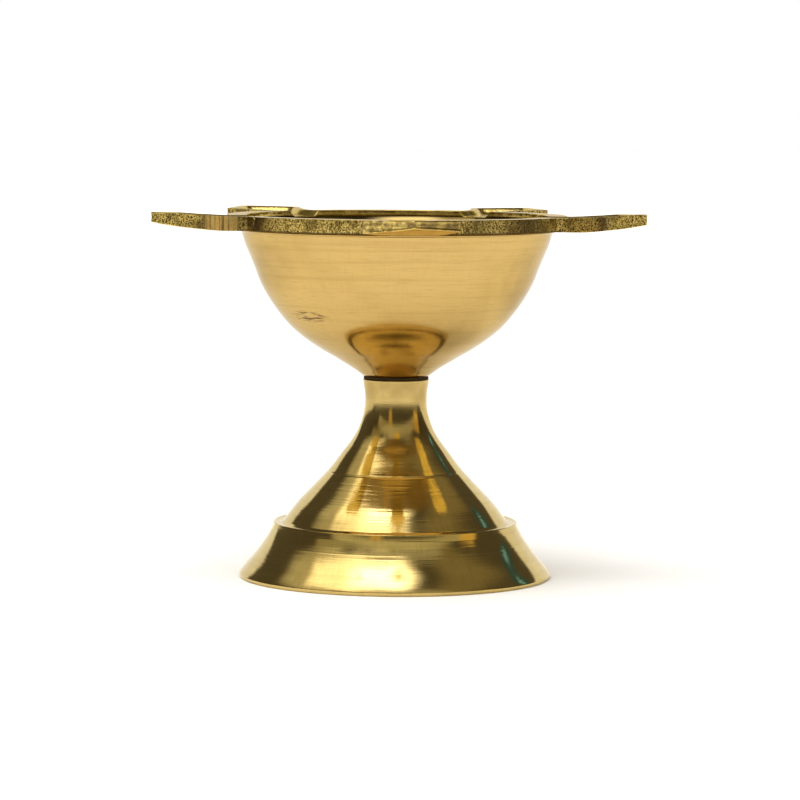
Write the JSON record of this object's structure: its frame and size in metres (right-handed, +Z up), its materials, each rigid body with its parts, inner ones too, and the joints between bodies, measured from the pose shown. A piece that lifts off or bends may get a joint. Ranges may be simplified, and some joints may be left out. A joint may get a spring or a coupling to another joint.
{
  "type": "footed oil lamp",
  "caption": "Footed brass oil lamp: a turned bowl under a cast plate with pointed wick lips, screwed onto a trumpet foot with a stepped skirt.",
  "frame": {"origin": "on the lamp's axis, in the plane of the table under the foot's rim", "axes": "+Z up along the lamp's axis, -Y through the middle of one lip, +X to the right when that lip faces the viewer"},
  "size_m": [0.1028, 0.0979, 0.0771],
  "materials": {
    "turned_brass": "bright lathe-turned, lacquered",
    "satin_brass": "satin, fine turning lines",
    "cast_brass": "rough as-cast edge with dark speckle",
    "steel": "zinc plated",
    "dark_fibre": "matt black fibre"
  },
  "bodies": {
    "foot": {"foot": "turned_brass", "stud": "steel", "nut_washer": "steel", "stud_nut": "steel"},
    "neck_washer": {"neck_washer": "dark_fibre"},
    "bowl": {"bowl": "satin_brass", "lip_plate": "cast_brass"}
  },
  "joints": [
    {"name": "bowl_rise", "type": "slide", "parent": "foot", "child": "neck_washer", "axis": [0, 0, 1], "range_m": [0, 0.007]},
    {"name": "bowl_unscrew", "type": "hinge", "parent": "neck_washer", "child": "bowl", "pos_m": [0, 0, 0.0424], "axis": [0, 0, 1], "range_deg": [0, 2520]}
  ],
  "couplings": [
    {"joint": "bowl_rise", "follows": "bowl_unscrew", "m_per_rad": 0.00015915}
  ]
}
